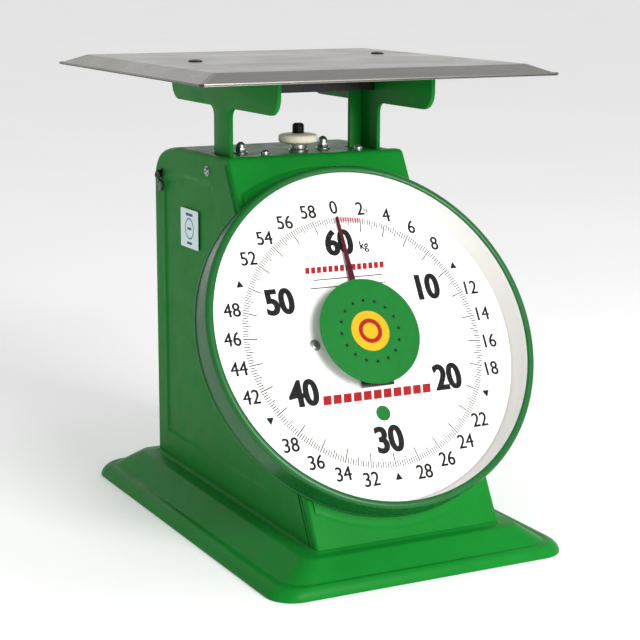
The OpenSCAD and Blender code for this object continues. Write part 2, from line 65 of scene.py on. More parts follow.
def make_camera():
    """The photo's view: from the front left, a little above the dial."""
    azimuth, pitch, roll = 0.476, 0.205, -0.003
    level = math.cos(pitch)
    forward = Vector((math.sin(azimuth) * level, math.cos(azimuth) * level, -math.sin(pitch)))
    right = Vector((math.cos(azimuth), -math.sin(azimuth), 0.0))
    turn = Matrix.Rotation(roll, 3, forward)
    right = turn @ right
    up = right.cross(forward)
    data = bpy.data.cameras.new("camera")
    data.sensor_width = 36.0
    data.lens = 97.8
    data.clip_start = 0.05
    data.clip_end = 50.0
    cam = add_object("camera", data)
    place = Vector((-0.6264, -1.2235, 0.44545))
    cam.matrix_world = Matrix((
        (right.x, up.x, -forward.x, place.x),
        (right.y, up.y, -forward.y, place.y),
        (right.z, up.z, -forward.z, place.z),
        (0, 0, 0, 1)))
    bpy.context.scene.camera = cam


make_camera()


# ---------------- materials

class Nodes:
    """Small helper that adds and links shader nodes."""

    def __init__(self, name):
        self.mat = bpy.data.materials.new(name)
        self.mat.use_nodes = True
        self.tree = self.mat.node_tree
        self.bsdf = self.tree.nodes["Principled BSDF"]
        self.coord = self.tree.nodes.new("ShaderNodeTexCoord")

    def add(self, kind, **values):
        node = self.tree.nodes.new("ShaderNode" + kind)
        for key, value in values.items():
            if key in node.inputs:
                node.inputs[key].default_value = value
            else:
                setattr(node, key, value)
        return node

    def link(self, a, b):
        self.tree.links.new(a, b)

    def mapped(self, scale):
        """Object coordinates stretched by scale, in metres."""
        node = self.add("Mapping")
        node.inputs["Scale"].default_value = scale
        self.link(self.coord.outputs["Object"], node.inputs["Vector"])
        return node.outputs["Vector"]

    def noise(self, scale, detail=3.0, rough=0.5, vector=None):
        node = self.add("TexNoise", Scale=scale, Detail=detail, Roughness=rough)
        self.link(vector or self.coord.outputs["Object"], node.inputs["Vector"])
        return node.outputs["Fac"]

    def ramp(self, fac, stops):
        """Colour ramp with stops of (position, colour)."""
        node = self.add("ValToRGB")
        ramp = node.color_ramp
        while len(ramp.elements) < len(stops):
            ramp.elements.new(0.5)
        for element, (place, colour) in zip(ramp.elements, stops):
            element.position = place
            element.color = (*colour, 1.0)
        self.link(fac, node.inputs["Fac"])
        return node.outputs["Color"]

    def range(self, fac, low, high, start=0.3, end=0.7):
        node = self.add("MapRange")
        for key, value in (("From Min", start), ("From Max", end), ("To Min", low), ("To Max", high)):
            node.inputs[key].default_value = value
        self.link(fac, node.inputs["Value"])
        return node.outputs["Result"]

    def bump(self, height, strength, distance):
        node = self.add("Bump", Strength=strength, Distance=distance)
        self.link(height, node.inputs["Height"])
        self.link(node.outputs["Normal"], self.bsdf.inputs["Normal"])

    def colour(self, socket):
        self.link(socket, self.bsdf.inputs["Base Color"])

    def rough(self, socket):
        self.link(socket, self.bsdf.inputs["Roughness"])

    def set(self, **values):
        for key, value in values.items():
            self.bsdf.inputs[key.replace("_", " ")].default_value = value


def linear(red, green, blue):
    """Linear colour from 0 to 255 display values."""
    def one(v):
        v /= 255.0
        return v / 12.92 if v <= 0.04045 else ((v + 0.055) / 1.055) ** 2.4
    return (one(red), one(green), one(blue))


def scaled(colour, factor):
    """Linear colour from display values, made lighter or darker."""
    return tuple(min(1.0, c * factor) for c in linear(*colour))


def enamel(name, colour, gloss=0.34, variation=0.10, shine=0.07):
    """Stoved enamel: faint cloudiness, orange peel and dusty patches."""
    n = Nodes(name)
    cloud = n.noise(14.0, 5.0, 0.6)
    n.colour(n.ramp(cloud, [(0.25, scaled(colour, 1 - variation)), (0.75, scaled(colour, 1 + variation))]))
    dust = n.noise(55.0, 4.0, 0.65)
    n.rough(n.range(dust, gloss * 0.85, gloss * 1.35))
    n.bump(n.noise(420.0, 2.0, 0.5), 0.06, 0.0003)
    n.set(Specular_IOR_Level=shine)
    return n.mat


def polished_steel(name, colour):
    """Rolled steel sheet: long fine grain, cloudy handling marks."""
    n = Nodes(name)
    lines = n.noise(1.0, 4.0, 0.6, n.mapped((6.0, 900.0, 900.0)))
    clouds = n.noise(16.0, 5.0, 0.6)
    n.colour(n.ramp(clouds, [(0.3, scaled(colour, 0.93)), (0.72, scaled(colour, 1.07))]))
    mix = n.add("Math", operation="MULTIPLY")
    n.link(lines, mix.inputs[0])
    n.link(clouds, mix.inputs[1])
    n.rough(n.range(mix.outputs["Value"], 0.24, 0.44, 0.15, 0.40))
    n.bump(lines, 0.05, 0.0002)
    n.set(Metallic=1.0)
    return n.mat


def plated(name, colour, low=0.22, high=0.45, scale=160.0):
    """Zinc or nickel plating with a mottled shine."""
    n = Nodes(name)
    mottle = n.noise(scale, 5.0, 0.65)
    n.colour(n.ramp(mottle, [(0.3, scaled(colour, 0.8)), (0.7, scaled(colour, 1.15))]))
    n.rough(n.range(n.noise(scale * 2.2, 3.0), low, high))
    n.bump(mottle, 0.06, 0.0002)
    n.set(Metallic=1.0)
    return n.mat


def moulded(name, colour, rough):
    """Moulded plastic or smooth print with fine grain and slight colour drift."""
    n = Nodes(name)
    n.set(Specular_IOR_Level=0.12)
    drift = n.noise(30.0, 3.0)
    n.colour(n.ramp(drift, [(0.3, scaled(colour, 0.95)), (0.7, scaled(colour, 1.04))]))
    n.rough(n.range(n.noise(260.0, 3.0), rough * 0.85, rough * 1.2))
    n.bump(n.noise(780.0, 2.0), 0.05, 0.0001)
    return n.mat


def clear(name):
    """Clear cover: mostly see-through, with a faint film of dust in its colour and roughness."""
    n = Nodes(name)
    dust = n.noise(25.0, 4.0)
    n.colour(n.ramp(dust, [(0.3, (0.25, 0.27, 0.26)), (0.7, (0.33, 0.35, 0.34))]))
    n.rough(n.range(dust, 0.04, 0.10))
    n.set(Alpha=0.012)
    return n.mat


MAT = {
    "green": enamel("green_enamel", (16, 120, 38)),
    # The case green, darkened as painted shade for the drum and its ring.
    "dark_green": enamel("ring_green_painted_shade", (20, 92, 38), 0.26, 0.08, 0.3),
    "black": enamel("black_enamel", (14, 14, 15), 0.35, 0.1, 0.4),
    "white": enamel("white_enamel", (250, 249, 247), 0.40, 0.012),
    # The pan is the dial's white enamel, greyed here as painted shade on the drum's inner wall.
    "pan": enamel("white_enamel_painted_shade", (222, 220, 215), 0.35, 0.02, 0.3),
    "clear": clear("clear_cover"),
    "print_green": moulded("green_print", (0, 108, 32), 0.40),
    "print_ring": moulded("print_ring", (206, 166, 12), 0.40),
    "print_black": moulded("black_print", (8, 8, 8), 0.55),
    "print_grey": moulded("tick_print", (26, 26, 28), 0.55),
    "print_pink": moulded("pink_print", (226, 160, 162), 0.55),
    "print_red": moulded("red_print", (160, 6, 16), 0.50),
    "label": moulded("label_film", (224, 240, 240), 0.40),
    "label_ring": moulded("label_ring", (80, 140, 184), 0.40),
    "label_bar": moulded("label_bar", (70, 80, 130), 0.40),
    "stainless": polished_steel("stainless_sheet", (124, 122, 117)),
    "zinc": plated("zinc_plating", (176, 177, 178)),
    # A darker copy of the zinc plating: its dark tone is painted shade.
    "stud": plated("zinc_steel_painted_shade", (66, 64, 62), 0.30, 0.45),
    "wire": plated("spring_wire", (120, 122, 126), 0.25, 0.4, 300.0),
    "lead": plated("lead_metal", (120, 122, 124), 0.45, 0.7, 400.0),
    "brass": plated("machined_brass", (200, 165, 95), 0.2, 0.4),
    "pointer": enamel("pointer_enamel", (80, 5, 24), 0.35, 0.06),
    "cream": moulded("cream_plastic", (236, 228, 208), 0.34),
}

# Which of these materials a CAD node's slot gets, and which slot a piece of a material has.
NODE_LOOK = {"zinc_steel": "zinc", "spring_steel": "wire", "brass": "brass", "green_paint": "green",
             "black_paint": "black", "white_enamel": "white", "stainless": "stainless", "lead": "lead",
             "dark_green_paint": "dark_green", "clear_plastic": "clear", "green_print": "print_green",
             "label_film": "label", "pointer_red": "pointer", "cream_plastic": "cream"}
SLOT_OF = {look: slot for slot, look in NODE_LOOK.items()}
SLOT_OF.update(pan="white_enamel", stud="zinc_steel", label_ring="label_film", label_bar="label_film")


# ---------------- mesh helpers
# Shapes are drawn in millimetres and turned into metres when the mesh is made.

def new_object(name, verts, faces, place=None):
    """A mesh object from millimetre points, moved by place, which is a matrix in millimetres."""
    mesh = bpy.data.meshes.new(name)
    points = [Vector(v) for v in verts]
    if place is not None:
        points = [place @ p for p in points]
    mesh.from_pydata([p * MM for p in points], [], faces)
    obj = add_object(name, mesh)
    tidy_mesh(mesh)
    return obj


def tidy_mesh(mesh):
    """Merges doubled points and turns all faces outwards."""
    bm = bmesh.new()
    bm.from_mesh(mesh)
    bmesh.ops.remove_doubles(bm, verts=bm.verts, dist=2e-6)
    bmesh.ops.recalc_face_normals(bm, faces=bm.faces)
    bm.to_mesh(mesh)
    bm.free()
    mesh.update()


def evaluated_mesh(obj):
    """A new mesh with all that the object's curve, text or modifiers make."""
    bpy.context.view_layer.update()
    graph = bpy.context.evaluated_depsgraph_get()
    return bpy.data.meshes.new_from_object(obj.evaluated_get(graph))


def modifier(obj, kind, **values):
    """Adds one modifier, applies it and keeps the result in the object's mesh."""
    mod = obj.modifiers.new(kind, kind)
    for key, value in values.items():
        setattr(mod, key, value)
    mesh = evaluated_mesh(obj)
    obj.modifiers.clear()
    old = obj.data
    obj.data = mesh
    bpy.data.meshes.remove(old)
    return obj


def bevel(obj, width, segments):
    return modifier(obj, "BEVEL", width=width * MM, segments=segments, limit_method="ANGLE",
                    angle_limit=math.radians(30), harden_normals=False)


def shell(obj, thickness):
    """Gives an open skin its sheet thickness, inwards."""
    return modifier(obj, "SOLIDIFY", thickness=thickness * MM, offset=-1.0)


def boolean(obj, other, operation="DIFFERENCE"):
    modifier(obj, "BOOLEAN", object=other, operation=operation, solver="EXACT")
    bpy.data.objects.remove(other)
    return obj


def lathe(name, profile, place=None, segments=96, closed=False):
    """Turns a profile of (radius, height) about Z."""
    verts, faces = [], []
    count = len(profile)
    for k in range(segments):
        a = 2 * math.pi * k / segments
        verts += [(r * math.cos(a), r * math.sin(a), z) for r, z in profile]
    steps = count if closed else count - 1
    for k in range(segments):
        here, there = k * count, (k + 1) % segments * count
        for i in range(steps):
            j = (i + 1) % count
            corners = [here + i, there + i, there + j, here + j]
            if profile[i][0] == 0:
                corners = [here + i, there + j, here + j]
            elif profile[j][0] == 0:
                corners = [here + i, there + i, here + j]
            faces.append(corners)
    return new_object(name, verts, faces, place)


def slab(name, outline, low, high, place=None, round_edge=0.0, segments=3):
    """A plate with that outline between two heights, with its edges rounded."""
    count = len(outline)
    verts = [(x, y, low) for x, y in outline] + [(x, y, high) for x, y in outline]
    faces = [list(range(count))[::-1], list(range(count, 2 * count))]
    faces += [[i, (i + 1) % count, count + (i + 1) % count, count + i] for i in range(count)]
    obj = new_object(name, verts, faces, place)
    return bevel(obj, round_edge, segments) if round_edge else obj


def loft(name, rings, place=None, cap_first=False, cap_last=False):
    """Skin over rings that all have the same number of points."""
    count = len(rings[0])
    verts = [p for ring in rings for p in ring]
    faces = []
    for k in range(len(rings) - 1):
        a, b = k * count, (k + 1) * count
        faces += [[a + i, a + (i + 1) % count, b + (i + 1) % count, b + i] for i in range(count)]
    if cap_first:
        faces.append(list(range(count))[::-1])
    if cap_last:
        faces.append(list(range((len(rings) - 1) * count, len(rings) * count)))
    return new_object(name, verts, faces, place)


def join(name, objects):
    """One object from several."""
    bm = bmesh.new()
    for obj in objects:
        bm.from_mesh(obj.data)
        bpy.data.objects.remove(obj)
    mesh = bpy.data.meshes.new(name)
    bm.to_mesh(mesh)
    bm.free()
    return add_object(name, mesh)


def arc(cx, cy, r, start, end, steps=8):
    """Points along an arc, angles in degrees."""
    turn = [math.radians(start + (end - start) * i / steps) for i in range(steps + 1)]
    return [(cx + r * math.cos(a), cy + r * math.sin(a)) for a in turn]


def rect(x0, x1, y0, y1):
    """Outline of a rectangle."""
    return [(x0, y0), (x1, y0), (x1, y1), (x0, y1)]


def round_rect(half_x, low_y, high_y, r, z, steps=8):
    """Ring of a rounded rectangle at height z."""
    corners = ((half_x - r, high_y - r, 0), (-half_x + r, high_y - r, 90),
               (-half_x + r, low_y + r, 180), (half_x - r, low_y + r, 270))
    return [(x, y, z) for cx, cy, a in corners for x, y in arc(cx, cy, r, a, a + 90, steps)]


def smooth(obj, angle, weighted):
    """Smooth shading except at edges sharper than the angle."""
    obj.select_set(True)
    bpy.context.view_layer.objects.active = obj
    bpy.ops.object.shade_smooth_by_angle(angle=math.radians(angle))
    obj.select_set(False)
    if weighted:
        modifier(obj, "WEIGHTED_NORMAL", keep_sharp=True, weight=60)


def finish_piece(obj, material, stands_for=(), angle=35, weighted=True, body="root"):
    """Gives a piece its material, shading and body, and hides the CAD nodes it stands for."""
    obj.data.materials.clear()
    obj.data.materials.append(MAT[material])
    smooth(obj, angle, weighted)
    if body:
        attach(obj, body)
    if stands_for:
        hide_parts(*stands_for)
    return obj


def finish_print(obj, material):
    """Gives a print on the dial or hub disc its material, shading and body."""
    obj.data.materials.append(MAT[material])
    smooth(obj, 30, False)
    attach(obj, "root")


def box_mm(node):
    """A CAD node's lowest and highest corners at rest, in millimetres."""
    low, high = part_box(node)
    return low / MM, high / MM


def move(x, y, z):
    return Matrix.Translation((x, y, z))


def along(axis):
    """Turns Z to point along -X, +X or +Y."""
    angle, about = {"-x": (-90, "Y"), "+x": (90, "Y"), "+y": (-90, "X")}[axis]
    return Matrix.Rotation(math.radians(angle), 4, about)


def yz_place(x):
    """Draws an outline given as (Y, Z) in the plane at that X, with its thickness along +X."""
    return Matrix(((0, 0, 1, x), (1, 0, 0, 0), (0, 1, 0, 0), (0, 0, 0, 1)))


# ---------------- shared sizes

JOINT = {j["name"]: j for j in frame["joints"]}
DIAL_AT = Vector(JOINT["pointer_turn"]["pos_m"]) / MM
OUT = Vector(JOINT["pointer_turn"]["axis"]).normalized()
UP_DIAL = OUT.cross(Vector((1, 0, 0))).normalized()
DIAL = Matrix(((1, UP_DIAL.x, OUT.x, DIAL_AT.x), (0, UP_DIAL.y, OUT.y, DIAL_AT.y),
               (0, UP_DIAL.z, OUT.z, DIAL_AT.z), (0, 0, 0, 1)))
TILT = math.atan2(OUT.z, -OUT.y)
SLOPE = math.tan(TILT)

BASE_HIGH = box_mm("base_skirt")[1]
CASE_LOW, CASE_HIGH = box_mm("case_shell")
PANEL_LOW, PANEL_HIGH = box_mm("front_panel")
PLATTER_LOW, PLATTER_HIGH = box_mm("platter")
HOUSING_R = box_mm("dial_housing")[1].x
LOAD_Y = (PLATTER_LOW.y + PLATTER_HIGH.y) / 2
SHEET = 1.2


def front_y(z, inwards=0.0):
    """Y of the front panel's middle surface at height z."""
    return DIAL_AT.y + (z - DIAL_AT.z) * SLOPE + inwards / math.cos(TILT)


# ---------------- base

def make_base():
    """Pressed skirt: rolled foot, shallow groove, main slope, and a ledge round the case."""
    half, back, top = BASE_HIGH
    ledge_x, ledge_front, ledge_back = CASE_HIGH.x + 14, PANEL_LOW.y - 9, CASE_HIGH.y + 12

    def foot(dx, dy, z, r):
        """Ring of the rolled foot and groove, moved in from the base's edges."""
        return round_rect(half - dx, -back + dy, back - dy, r, z)

    def upper(t, z, r):
        """Ring between the groove (t = 0) and the ledge (t = 1)."""
        hx = (half - 13) * (1 - t) + ledge_x * t
        low = (-back + 7.5) * (1 - t) + ledge_front * t
        high = (back - 7.5) * (1 - t) + ledge_back * t
        return round_rect(hx, low, high, r, z)

    def collar(dx, front, rear, r, z):
        """Ring of the ledge round the case, moved out from the case's edges."""
        return round_rect(CASE_HIGH.x + dx, PANEL_LOW.y - front, CASE_HIGH.y + rear, r, z)

    rings = [foot(*row) for row in (
        (0.5, 0.5, 0.0, 21.1), (0, 0, 0.4, 21.6), (0, 0, 1.6, 21.6), (0.5, 0.3, 3.2, 21.4),
        (1.6, 1.0, 5.2, 21), (3.4, 2.1, 7.2, 20.4), (5.8, 3.5, 8.8, 19.6), (8.2, 4.8, 9.6, 19),
        (10.2, 5.9, 9.5, 18.2), (11.6, 6.7, 9.2, 17.8))]
    rings += [upper(*row) for row in (
        (0.0, 9.5, 17.4), (0.06, 10.5, 17), (0.5, 16.2, 14), (0.90, 21.4, 11.4), (0.97, 22.3, 10.8),
        (1.04, 22.7, 10.2))]
    rings += [collar(*row) for row in (
        (5, 3.5, 4, 6, 22.9), (2.4, 1.4, 1.6, 4, 23.4), (1.2, 0.4, 0.4, 3, top - 0.2),
        (-7, -10, -8, 3, top))]
    skin = shell(loft("base_skirt_skin", rings), 1.4)
    finish_piece(skin, "green", ("base_skirt",), 50, False)


make_base()


# ---------------- case

def case_outline():
    """Side outline of the case in Y and Z, as in the frame: flat top, long curve, rounded back."""
    top, back = CASE_HIGH.z, CASE_HIGH.y
    flat_end, long_r, long_end, back_r = 90.0, 150.0, 132.0, 26.6
    lean = math.degrees(math.asin((long_end - flat_end) / long_r))
    back_cz = top - long_r * (1 - math.cos(math.radians(lean))) - back_r * math.cos(math.radians(lean))
    return ([(front_y(CASE_LOW.z), CASE_LOW.z), (front_y(top), top)]
            + arc(flat_end, top - long_r, long_r, 90, 90 - lean, 14)[:-1]
            + arc(back - back_r, back_cz, back_r, 90 - lean, 0, 10) + [(back, CASE_LOW.z)])


def post_slot_cutters():
    """Solids that cut the slots where the bracket posts go through the top."""
    made = []
    for side in (-1, 1):
        web = side * 65.75
        lip = side * 57.5
        for x, half_x, y, half_y in ((web, 3.75, LOAD_Y, 17), (lip, 8.5, LOAD_Y + 13.2, 3.8)):
            outline = rect(x - half_x, x + half_x, y - half_y, y + half_y)
            made.append(slab("cut", outline, 280, 300))
    return made


def inset(outline, front, top, foot):
    """The case outline moved inwards: its front, its foot and all other edges by their own distance."""
    made = []
    count = len(outline)
    gaps = [front] + [top] * (count - 2) + [foot]
    for i in range(count):
        here = Vector(outline[i])
        before = (here - Vector(outline[i - 1])).normalized()
        after = (Vector(outline[(i + 1) % count]) - here).normalized()
        out_a, out_b = Vector((-before.y, before.x)), Vector((-after.y, after.x))
        gap_a, gap_b = gaps[i - 1], gaps[i]
        turn = out_a.x * out_b.y - out_a.y * out_b.x
        if abs(turn) < 1e-3:
            made.append(tuple(here - out_b * gap_b))
        else:
            made.append((here.x - (gap_a * out_b.y - gap_b * out_a.y) / turn,
                         here.y - (gap_b * out_a.x - gap_a * out_b.x) / turn))
    return made


def make_case():
    """Folded sheet: two sides with a pressed panel each, round folds, and the curved top and back."""
    outline = case_outline()
    count = len(outline)
    half, fold, press = CASE_HIGH.x, 3.2, 1.3
    rows = [(half - press, 47, 27, 26), (half - press, 44, 24.5, 23.5),
            (half - press * 0.85, 43.2, 23.8, 22.8), (half - press * 0.15, 41.2, 21.8, 20.8),
            (half, 40.4, 21, 20), (half, 0, fold, 0)]
    for step in range(1, 6):
        a = math.radians(90 * step / 5)
        rows.append((half - fold + fold * math.cos(a), 0, fold * (1 - math.sin(a)), 0))
    side = [[(-x, y, z) for y, z in inset(outline, front, top, foot)] for x, front, top, foot in rows]
    rings = side + [[(-x, y, z) for x, y, z in ring] for ring in reversed(side)]
    verts = [p for ring in rings for p in ring]
    faces = [list(range(count)), [len(verts) - 1 - i for i in range(count)]]
    for k in range(len(rings) - 1):
        on_side = k < 5 or k > len(rings) - 7  # the foot and front edges are skinned on the two sides only
        for i in range(count):
            if on_side or 0 < i < count - 1:
                a, b, j = k * count, (k + 1) * count, (i + 1) % count
                faces.append([a + i, a + j, b + j, b + i])
    obj = shell(new_object("case_skin", verts, faces), SHEET)
    for cutter in post_slot_cutters():
        boolean(obj, cutter)
    boolean(obj, lathe("cut", [(0, 280), (6, 280), (6, 300), (0, 300)], move(0, LOAD_Y, 0), 32))
    finish_piece(obj, "green", ("case_shell",), 40)


make_case()


def make_front_panel():
    """Front sheet with side flanges that wrap the case, a top fold and a pressed ring round the dial."""
    half = PANEL_HIGH.x
    low, top = PANEL_LOW.z, PANEL_HIGH.z
    foot, head = PANEL_LOW.y, front_y(top, -SHEET / 2)
    section = [(foot, low), (head, top), (head + 9, top), (foot + 22, low)]
    verts = [(-half, y, z) for y, z in section] + [(half, y, z) for y, z in section]
    faces = [[0, 1, 5, 4], [1, 2, 6, 5], [0, 3, 2, 1], [4, 5, 6, 7]]
    obj = new_object("front_panel_skin", verts, faces)
    bm = bmesh.new()
    bm.from_mesh(obj.data)
    folds = [e for e in bm.edges if len(e.link_faces) == 2]
    bmesh.ops.bevel(bm, geom=folds, offset=3.0 * MM, segments=4, profile=0.5, affect="EDGES")
    bm.to_mesh(obj.data)
    bm.free()
    tidy_mesh(obj.data)
    shell(obj, SHEET)
    finish_piece(obj, "green", ("front_panel",), 40)
    outer, inner, rise = HOUSING_R + 9.5, HOUSING_R + 0.3, 2.0
    section = [(inner, 0.2), (inner, rise), (outer - 3.2, rise), (outer - 2.2, rise - 0.2),
               (outer - 0.6, 0.9), (outer, 0.6), (outer, 0.2)]
    seat = lathe("dial_seat", section, DIAL, 160, closed=True)
    keep = half - 5
    crop = slab("crop", rect(-keep, keep, -151.5, 154), 0.0, 5.0, DIAL)
    boolean(seat, crop, "INTERSECT")
    finish_piece(seat, "green", (), 40, False)


make_front_panel()


def make_flange_steps():
    """Double pressed line on each side flange, beside the folded edge."""
    for side, name in ((-1, "left"), (1, "right")):
        x = side * (PANEL_HIGH.x + 0.35)
        top, low = PANEL_HIGH.z - 6, PANEL_LOW.z + 0.5
        strips = []
        for offset, width in ((7.5, 1.4), (11.5, 1.0)):
            foot_y, top_y = front_y(low) + offset, front_y(top) + offset * 0.6
            outline = [(foot_y, low), (top_y, top), (top_y + width, top), (foot_y + width, low)]
            strips.append(slab("strip", outline, -0.35, 0.35, yz_place(x), 0.3, 2))
        finish_piece(join(name + "_flange_lines", strips), "green", (), 40, False)


make_flange_steps()


# ---------------- dial

FACE = 4.6  # height of the dial plate's face along the dial's axis
PRINT = FACE + 0.04  # height of the print's upper side
INK = 0.05  # thickness of a print
TICK_R = 101.1  # radius of the ticks' outer ends


def make_housing():
    """Drum: floor, wall with a foot bead, and a rolled front ring."""
    r = HOUSING_R
    foot = [(22, 0.6), (r - 0.4, 0.6), (r + 0.5, 0.9), (r + 0.9, 1.6), (r + 0.9, 2.4), (r + 0.5, 3.1),
            (r, 3.5)]
    outer = foot + [(r, 21.6)] + arc(r - 3.2, 22.2, 3.2, 12, 90, 7)
    lip = [(r - 4.6, 25.35), (r - 5.6, 24.9), (r - 6, 24.2), (r - 6, 23.4), (r - 5.4, 23.2)]
    inner = [(r - 5.0, 23.9), (r - 3.6, 24.0)] + arc(r - 3.3, 21.9, 2.1, 80, 0, 5)
    floor = [(r - SHEET, 1.8), (22, 1.8)]
    obj = lathe("dial_drum", outer + lip + inner + floor, DIAL, 160, closed=True)
    # The drum's darker green is painted shade; the drum is painted in the case green.
    finish_piece(obj, "dark_green", ("dial_housing",), 50, False)


def make_pan():
    """White pan inside the drum, with its rim over the drum's lip."""
    profile = [(22, 1.8), (129.2, 1.8), (129.6, 2.2), (131.7, 22.4), (132.2, 22.9), (135.4, 22.9),
               (135.4, 23.8), (131.4, 23.8), (130.9, 23.4), (130.5, 22.6), (128.4, 5.4), (127.6, 3.4),
               (126.6, 2.8), (22, 2.8)]
    obj = lathe("dial_pan_skin", profile, DIAL, 160, closed=True)
    # Its grey is painted shade: the pan is white like the dial plate.
    finish_piece(obj, "pan", ("dial_pan",), 50, False)


def make_plate():
    """The round sheet that the dial is printed on."""
    profile = [(5, 2.8), (5, FACE - 0.2), (5.2, FACE), (126.8, FACE), (127.3, FACE - 0.3), (127.3, 2.8)]
    obj = lathe("dial_plate_disc", profile, DIAL, 160, closed=True)
    finish_piece(obj, "white", ("dial_plate",), 40)


def dial_point(r, turn):
    """Point on the dial at that radius, with turn as a share of a full turn clockwise from the top."""
    a = 2 * math.pi * turn
    return (r * math.sin(a), r * math.cos(a))


def circle(x, y, r, count):
    """Outline of a circle on the dial."""
    points = []
    for k in range(count):
        dx, dy = dial_point(r, k / count)
        points.append((x + dx, y + dy))
    return points[::-1]


def stroke(inner, outer, width, turn):
    """Four corners of a radial stroke."""
    a = 2 * math.pi * turn
    side = (math.cos(a) * width / 2, -math.sin(a) * width / 2)
    lo, hi = dial_point(inner, turn), dial_point(outer, turn)
    return [(lo[0] - side[0], lo[1] - side[1]), (lo[0] + side[0], lo[1] + side[1]),
            (hi[0] + side[0], hi[1] + side[1]), (hi[0] - side[0], hi[1] - side[1])]


def flat_print(name, shapes, material, height=PRINT, thick=INK):
    """Thin raised print made of flat shapes."""
    verts, faces = [], []
    for shape in shapes:
        n, base = len(shape), len(verts)
        verts += [(x, y, height) for x, y in shape] + [(x, y, height - thick) for x, y in shape]
        faces.append(list(range(base, base + n)))
        faces.append(list(range(base + n, base + 2 * n))[::-1])
        for i in range(n):
            j = (i + 1) % n
            faces.append([base + i, base + n + i, base + n + j, base + j])
    finish_print(new_object(name, verts, faces, DIAL), material)


def make_ticks():
    """A tick each 0.2 kg, longer at 1 kg, longest at 2 kg, and the pink band past zero."""
    fine, bold = [], []
    for k in range(300):
        turn = k / 300
        if k % 10 == 0:
            bold.append(stroke(TICK_R - 11.5, TICK_R, 0.85, turn))
        elif k % 5 == 0:
            bold.append(stroke(TICK_R - 7.2, TICK_R, 0.7, turn))
        else:
            fine.append(stroke(TICK_R - 5.0, TICK_R, 0.72, turn))
    flat_print("ticks_fine", fine, "print_grey")
    flat_print("ticks_bold", bold, "print_black")
    band = [dial_point(TICK_R - 3.6, t / 300) for t in range(0, 11)]
    band += [dial_point(TICK_R + 0.2, t / 300) for t in range(10, -1, -1)]
    flat_print("zero_band", [band[::-1]], "print_pink", PRINT - 0.02, 0.03)


def text_mesh(text, height, narrow, heavy_x, heavy_y):
    """Centred figures as a flat mesh with that height, each stroke made wider on both sides."""
    curve = bpy.data.curves.new("text", "FONT")
    curve.body = text
    curve.align_x = "CENTER"
    curve.resolution_u = 6
    holder = add_object("text", curve)
    mesh = evaluated_mesh(holder)
    bpy.data.objects.remove(holder)
    bm = bmesh.new()
    bm.from_mesh(mesh)
    bmesh.ops.remove_doubles(bm, verts=bm.verts, dist=1e-5)
    xs = [v.co.x for v in bm.verts]
    ys = [v.co.y for v in bm.verts]
    scale = (height - 2 * heavy_y) / (max(ys) - min(ys))
    cx, cy = (max(xs) + min(xs)) / 2, (max(ys) + min(ys)) / 2
    for v in bm.verts:
        v.co = ((v.co.x - cx) * scale * narrow, (v.co.y - cy) * scale, 0)
    shift = {}
    for v in bm.verts:
        normals = []
        for edge in v.link_edges:
            if len(edge.link_faces) != 1:
                continue
            line = edge.other_vert(v).co - v.co
            away = Vector((line.y, -line.x, 0)).normalized()
            middle = (edge.verts[0].co + edge.verts[1].co) / 2
            inside = edge.link_faces[0].calc_center_median() - middle
            normals.append(-away if away.dot(inside) > 0 else away)
        if len(normals) == 2:
            total = normals[0] + normals[1]
            total /= max(0.45, 1 + normals[0].dot(normals[1]))
            shift[v] = Vector((total.x * heavy_x, total.y * heavy_y, 0))
    for v, step in shift.items():
        v.co += step
    bm.to_mesh(mesh)
    bm.free()
    return mesh


def print_text(name, items, material):
    """One object from many texts, each (text, x, y, height, narrow, heavy_x, heavy_y) on the dial."""
    bm = bmesh.new()
    for text, x, y, *shape in items:
        mesh = text_mesh(text, *shape)
        mesh.transform(Matrix.Translation((x, y, PRINT)))
        bm.from_mesh(mesh)
        bpy.data.meshes.remove(mesh)
    bmesh.ops.recalc_face_normals(bm, faces=bm.faces)
    solid = bmesh.ops.extrude_face_region(bm, geom=list(bm.faces))
    raised = [v for v in solid["geom"] if isinstance(v, bmesh.types.BMVert)]
    for v in raised:
        v.co.z -= INK
    bmesh.ops.recalc_face_normals(bm, faces=bm.faces)
    for v in bm.verts:
        v.co = (DIAL @ v.co) * MM
    mesh = bpy.data.meshes.new(name)
    bm.to_mesh(mesh)
    bm.free()
    finish_print(add_object(name, mesh), material)


def make_figures():
    """Small figures outside the ticks, a mark at each ten, large figures inside, all upright."""
    small, big, marks = [], [], []
    for kg in range(0, 60, 2):
        turn = kg / 60
        if kg % 10 == 0 and kg > 0:
            x, y = dial_point(TICK_R + 6.8, turn)
            mark = [(x - 3.1, y - 2.9), (x + 3.1, y - 2.9), (x, y + 2.9)]
            if kg in (20, 40):
                mark = [(x, y - 2.9), (x + 3.1, y + 2.9), (x - 3.1, y + 2.9)]
            marks.append(mark)
            continue
        x, y = dial_point(TICK_R + 8.6, turn)
        small.append((str(kg), x, y, 11.2, 0.90, 0.30, 0.16))
    x, y = dial_point(TICK_R + 8.0, 2.45 / 60)
    small.append(("kg", x, y, 4.6, 0.85, 0.05, 0.05))
    for kg, r in ((10, 76.0), (20, 72.5), (30, 79.0), (40, 71.5), (50, 74.0), (60, 80.5)):
        x, y = dial_point(r, kg / 60)
        x -= 2.6 if kg == 60 else 0.0
        big.append((str(kg), x, y, 21.4, 0.84, 1.30, 0.85))
    small.append(("kg", 18.6, 75.5, 9.5, 0.85, 0.25, 0.18))
    print_text("figures_small", small, "print_black")
    print_text("figures_big", big, "print_black")
    flat_print("figure_marks", marks, "print_black")


def dashes(x, low, high, width, gap, count):
    """Row of slanted dashes centred at x."""
    lean = (high - low) * 0.2
    pitch = width + gap
    start = x - (pitch * count - gap + lean) / 2
    made = []
    for k in range(count):
        left = start + pitch * k
        made.append([(left, low), (left + width, low), (left + width + lean, high), (left + lean, high)])
    return made


